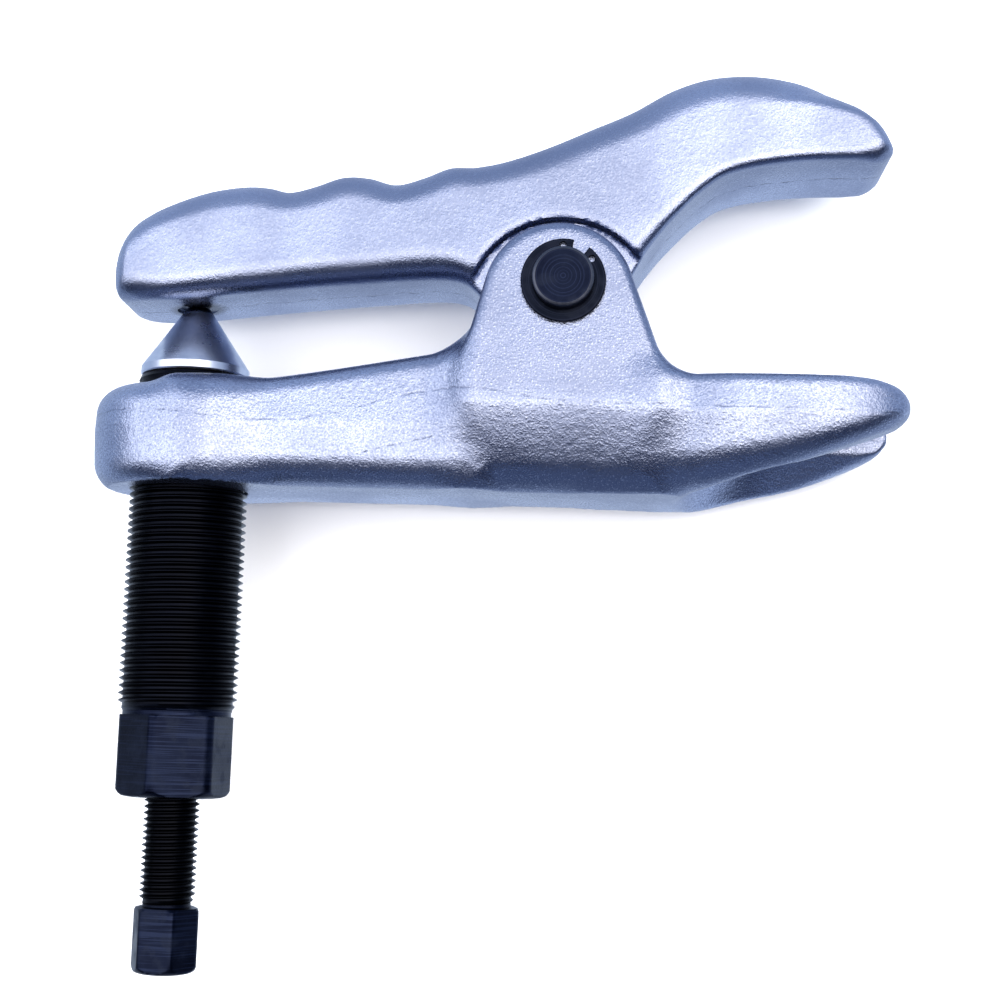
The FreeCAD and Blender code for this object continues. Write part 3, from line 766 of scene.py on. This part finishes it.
def arm_seam(m):
    """Flash line round the fork arm, level with the meeting of its dies, and a fainter scratch."""
    level = m.path([(-100, -26.5), (-86, -26.5), (-56, -28.0), (-46, -26.5), (-22, -21.4), (0, -23.6),
                    (25, -24.2), (70, -24.6)], -100, 70, -40, 0)
    wander = m.sum("MULTIPLY_ADD", m.noise(2.2, 2.0), 0.9, -0.45)
    seam = broken(m, m.sum("ADD", m.sum("SUBTRACT", m.y, level), wander), 0.36, 0.42)
    scratch_level = m.sum("MULTIPLY_ADD", m.x, 0.25, -24.4)
    scratch = broken(m, m.sum("ADD", m.sum("SUBTRACT", m.y, scratch_level), wander), 0.26, 0.45, 1.2)
    on_neck = m.both(m.remap(m.x, -40, -38), m.remap(m.x, -24, -22, 1.0, 0.0))
    return m.sum("MAXIMUM", seam, m.both(scratch, on_neck))


def lever_seam_and_dimple_shadow(m):
    """Flash line round the lever, along its middle plane, and painted shadow in the cone's dimple."""
    wander = m.sum("MULTIPLY_ADD", m.noise(5.0, 3.0), 4.0, -2.0)
    flash = broken(m, m.sum("ADD", m.z, wander), 0.35, 0.95, 2.2)
    reach = m.reach(m.sum("SUBTRACT", m.x, SCREW_X), m.z)
    # Painted shadow: the lever's dimple and the underside round it near black.
    dimple_shadow = m.both(m.remap(reach, 4.0, 7.0, 0.97, 0.0), m.remap(m.y, -0.4, 0.9, 1.0, 0.0))
    return m.sum("MAXIMUM", flash, dimple_shadow)


DARK_OXIDE, LIGHT_OXIDE = (0.0045, 0.0062, 0.015), (0.0085, 0.012, 0.027)
DARK_SPRING, LIGHT_SPRING = (0.003, 0.0045, 0.009), (0.007, 0.009, 0.017)
SCUFFED = (0.03, 0.037, 0.06)
# Lighter colour for the rim of the pin's ends.
LIGHTER_RIM = (0.10, 0.11, 0.14)
OILY = (0.0035, 0.0037, 0.0046)


def black_oxide(name, turned_about, lines, dark=DARK_OXIDE, light=LIGHT_OXIDE):
    """Blackened steel: near black, blue where it catches light, with machining lines."""
    m = Finish(name, dark, 1.0, 0.34)
    if turned_about == "Z":
        reach = m.reach(m.x, m.y)
        parts = m.tree.nodes.new("ShaderNodeCombineXYZ")
        m.put(reach, parts.inputs[0])
        where = parts.outputs[0]
    else:
        where = m.along_y(0.02)
    tooling = m.noise(0.3, 2.0, where)
    scuffs = m.remap(m.noise(3.5, 4.0), 0.50, 0.68)
    film = m.noise(7.0, 3.0)
    grain = m.noise(0.5, 2.0)
    normal = m.bump(tooling, lines)
    normal = m.bump(grain, 0.02, normal)
    colour = m.blend(m.remap(film, 0.3, 0.7), dark, light)
    colour = m.blend(m.remap(tooling, 0.5, 0.62, 0.0, 0.6), colour, tuple(2.0 * c for c in light))
    colour = m.blend(m.sum("MULTIPLY", scuffs, 0.2), colour, SCUFFED)
    if turned_about == "Z":
        # The rim of each pin end is lighter.
        pin_end = m.remap(m.sum("ABSOLUTE", m.z), 25.7, 26.0)
        colour = m.blend(m.both(m.remap(reach, 5.3, 5.6, 0.0, 0.7), pin_end), colour, LIGHTER_RIM)
    else:
        wide_thread = m.band(m.y, -51.0, 33.8, 34.6, 0.8)
        slim_thread = m.band(m.y, -113.5, 10.2, 11.2, 0.9)
        colour = m.blend(m.sum("MAXIMUM", wide_thread, slim_thread), colour, OILY)
    rough = m.sum("ADD", m.remap(film, 0.3, 0.7, 0.30, 0.42), m.sum("MULTIPLY", scuffs, 0.10))
    return m.finish(colour, rough, normal)


def ground_steel(name):
    """Bright turned steel with fine rings from the tool, and painted shadow on the cone's tip."""
    clean, smeared, dimple_shadow = (0.70, 0.74, 0.84), (0.50, 0.56, 0.70), (0.01, 0.012, 0.02)
    m = Finish(name, clean, 1.0, 0.2)
    rings = m.noise(0.22, 3.0, m.along_y(0.01))
    smear = m.noise(5.0, 3.0)
    colour = m.blend(m.remap(smear, 0.35, 0.7), clean, smeared)
    rough = m.sum("ADD", m.remap(smear, 0.3, 0.7, 0.24, 0.33), m.sum("MULTIPLY", rings, 0.05))
    # Painted shadow: the cone's blunt tip near black where it sits in the lever's dimple.
    colour = m.blend(m.remap(m.y, -3.1, -2.5), colour, dimple_shadow)
    return m.finish(colour, rough, m.bump(rings, 0.012))


def paint(piece, material):
    piece.data.materials.clear()
    piece.data.materials.append(material)


# ---------------------------------------------------------------- the pieces and their bodies

def assemble():
    """Make every piece, give it its material, and let it stand for its CAD node on its body."""
    arm = make_fork_arm()
    lever = make_lever()
    adjuster = make_adjuster()
    screw = make_forcing_screw()
    cone = make_cone()
    pin = make_pin()
    front = make_retaining_ring("front_ring", 1)
    rear = make_retaining_ring("rear_ring", -1)
    oxide = black_oxide("blackened_screws", "Y", 0.03)
    pin_oxide = black_oxide("blackened_pin", "Z", 0.04)
    ring_oxide = black_oxide("blackened_rings", "Z", 0.01, DARK_SPRING, LIGHT_SPRING)
    steel = ground_steel("ground_steel")
    rough_plate = plated_forging("plated_arm", arm_seam, arm_darkening_and_shade, 0.10, 0.10, 0.75)
    smooth_plate = plated_forging("plated_lever", lever_seam_and_dimple_shadow, lever_darkening, 0.06, 0.075, 0.35)
    standing_for = [
        (arm, "arm", "fork_arm", "forging", rough_plate),
        (lever, "lever", "lever_arm", "forging", smooth_plate),
        (adjuster, "adjuster", "adjuster_screw", "black_oxide", oxide),
        (screw, "screw", "forcing_screw", "black_oxide", oxide),
        (cone, "cone", "pressure_cone", "ground_steel", steel),
        (pin, "pivot", "pivot_pin", "black_oxide", pin_oxide),
        (front, "pivot", "retaining_ring_front", "spring_steel", ring_oxide),
        (rear, "pivot", "retaining_ring_rear", "spring_steel", ring_oxide),
    ]
    for piece, body, node, finish_slot, material in standing_for:
        paint(piece, material)
        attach(piece, body)
        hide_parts(node)
    for node in ("thrust_ball", "cone_wire_ring"):
        paint(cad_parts[node], steel)


# ---------------------------------------------------------------- floor, light and camera

def lay_floor():
    """A plain pale floor that the pin's lower end stands on."""
    low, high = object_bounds()
    size = 4.0
    mesh = bpy.data.meshes.new("floor")
    corners = [(-size, -size, low[2]), (size, -size, low[2]), (size, size, low[2]), (-size, size, low[2])]
    mesh.from_pydata(corners, [], [(0, 1, 2, 3)])
    floor = bpy.data.objects.new("floor", mesh)
    bpy.context.scene.collection.objects.link(floor)
    shade_low, shade_high = (0.85, 0.86, 0.89), (0.88, 0.89, 0.91)
    m = Finish("pale_floor", shade_low, 0.0, 0.8)
    paint(floor, m.finish(m.blend(m.noise(60.0, 3.0), shade_low, shade_high)))
    floor.visible_glossy = False


IN_FRONT, BEHIND, LOW_IN_FRONT = (0.03, 0.045, 0.10), (0.55, 0.68, 0.92), (0.28, 0.36, 0.55)
GROUND_NEAR, GROUND = (0.06, 0.09, 0.18), (0.72, 0.85, 1.08)
GROUND_FAR, GROUND_LEFT = (0.64, 0.76, 1.0), (0.62, 0.75, 0.97)
BOX_EDGE, BOX = (2.1, 2.3, 2.75), (3.5, 3.2, 2.85)
PALE = (0.92, 0.93, 0.95)


def light_room():
    """Soft room that metal reflects: bright boxes above to the right and left, blue walls that
    are dark in front, and pale blue ground. Seen directly it is plain and pale."""
    world = bpy.data.worlds.new("studio")
    bpy.context.scene.world = world
    world.use_nodes = True
    tree = world.node_tree
    background = tree.nodes["Background"]
    coords = tree.nodes.new("ShaderNodeTexCoord")
    parts = tree.nodes.new("ShaderNodeSeparateXYZ")
    tree.links.new(coords.outputs["Generated"], parts.inputs[0])
    across, back, up = parts.outputs

    def ease(value, low, high, first, last):
        made = tree.nodes.new("ShaderNodeMapRange")
        made.interpolation_type = "SMOOTHSTEP"
        tree.links.new(value, made.inputs[0])
        for number, socket in zip((low, high, first, last), list(made.inputs)[1:5]):
            socket.default_value = number
        return made.outputs[0]

    def mixed(share, first, second):
        made = tree.nodes.new("ShaderNodeMix")
        made.data_type = "RGBA"
        tree.links.new(share, made.inputs["Factor"])
        for colour, socket in ((first, made.inputs[6]), (second, made.inputs[7])):
            if isinstance(colour, tuple):
                socket.default_value = (*colour, 1.0)
            else:
                tree.links.new(colour, socket)
        return made.outputs[2]

    def combined(operation, first, second):
        made = tree.nodes.new("ShaderNodeMath")
        made.operation = operation
        tree.links.new(first, made.inputs[0])
        tree.links.new(second, made.inputs[1])
        return made.outputs[0]

    def times(first, second):
        return combined("MULTIPLY", first, second)

    walls = mixed(ease(back, -0.50, 0.45, 0.0, 1.0), IN_FRONT, BEHIND)
    walls = mixed(ease(back, -0.98, -0.84, 1.0, 0.0), walls, LOW_IN_FRONT)
    ground = mixed(ease(back, -1.0, -0.72, 0.0, 1.0), GROUND_NEAR, GROUND)
    ground = mixed(ease(back, 0.0, 0.35, 0.0, 1.0), ground, GROUND_FAR)
    ground = mixed(ease(across, -0.70, -0.35, 1.0, 0.0), ground, GROUND_LEFT)
    walls = mixed(ease(up, -0.35, 0.0, 1.0, 0.0), walls, ground)
    depth = times(ease(back, -0.55, -0.26, 0.0, 1.0), ease(back, 0.36, 0.60, 1.0, 0.0))
    nearer = ease(back, 0.07, 0.19, 0.92, 0.0)
    to_the_right = ease(across, -0.05, 0.15, 0.56, 1.0)
    right_box = times(combined("MAXIMUM", to_the_right, nearer), ease(across, 0.50, 0.78, 1.0, 0.0))
    right_box = times(ease(across, -0.62, -0.52, 0.0, 1.0), right_box)
    left_box = times(ease(across, -0.62, -0.52, 0.65, 0.0), ease(across, -0.95, -0.88, 0.0, 1.0))
    boxes = times(depth, combined("MAXIMUM", left_box, right_box))
    glow = times(boxes, ease(up, 0.0, 0.2, 0.0, 1.0))
    room = mixed(times(glow, glow), mixed(glow, walls, BOX_EDGE), BOX)
    seen = tree.nodes.new("ShaderNodeLightPath").outputs["Is Camera Ray"]
    tree.links.new(mixed(seen, room, PALE), background.inputs["Color"])
    background.inputs["Strength"].default_value = 1.0


def soft_light(name, place):
    """A wide lamp aimed at the origin. It whitens the floor, and metal doesn't reflect it."""
    lamp = bpy.data.lights.new(name, "AREA")
    lamp.shape = "SQUARE"
    lamp.size = 0.90
    lamp.energy = 14.0
    lamp.color = (0.97, 0.98, 1.0)
    light = bpy.data.objects.new(name, lamp)
    light.location = place
    light.rotation_euler = (-Vector(place)).to_track_quat("-Z", "Y").to_euler()
    light.visible_glossy = False
    bpy.context.scene.collection.objects.link(light)


def place_camera():
    """Looking down on the flat side, a little from the screws' end."""
    tilt, swing, roll = -0.133, -0.05, -0.031
    turns = ((roll, "Z"), (tilt, "X"), (swing, "Y"))
    first, second, third = [Matrix.Rotation(angle, 3, axis) for angle, axis in turns]
    to_camera = first @ second @ third
    lens = bpy.data.cameras.new("camera")
    lens.lens = 63.45
    lens.clip_start = 0.01
    camera = bpy.data.objects.new("camera", lens)
    from_pivot = (5.76, -88.55, 358.376)
    place = Vector(from_pivot) + Vector(PIVOT)
    camera.matrix_world = Matrix.Translation(place * MM) @ to_camera.transposed().to_4x4()
    bpy.context.scene.collection.objects.link(camera)
    bpy.context.scene.camera = camera


assemble()
lay_floor()
light_room()
soft_light("left_fill", (-0.60, 0.10, 1.10))
soft_light("right_fill", (0.50, 0.20, 1.10))
place_camera()
bpy.context.scene.view_settings.view_transform = "Standard"
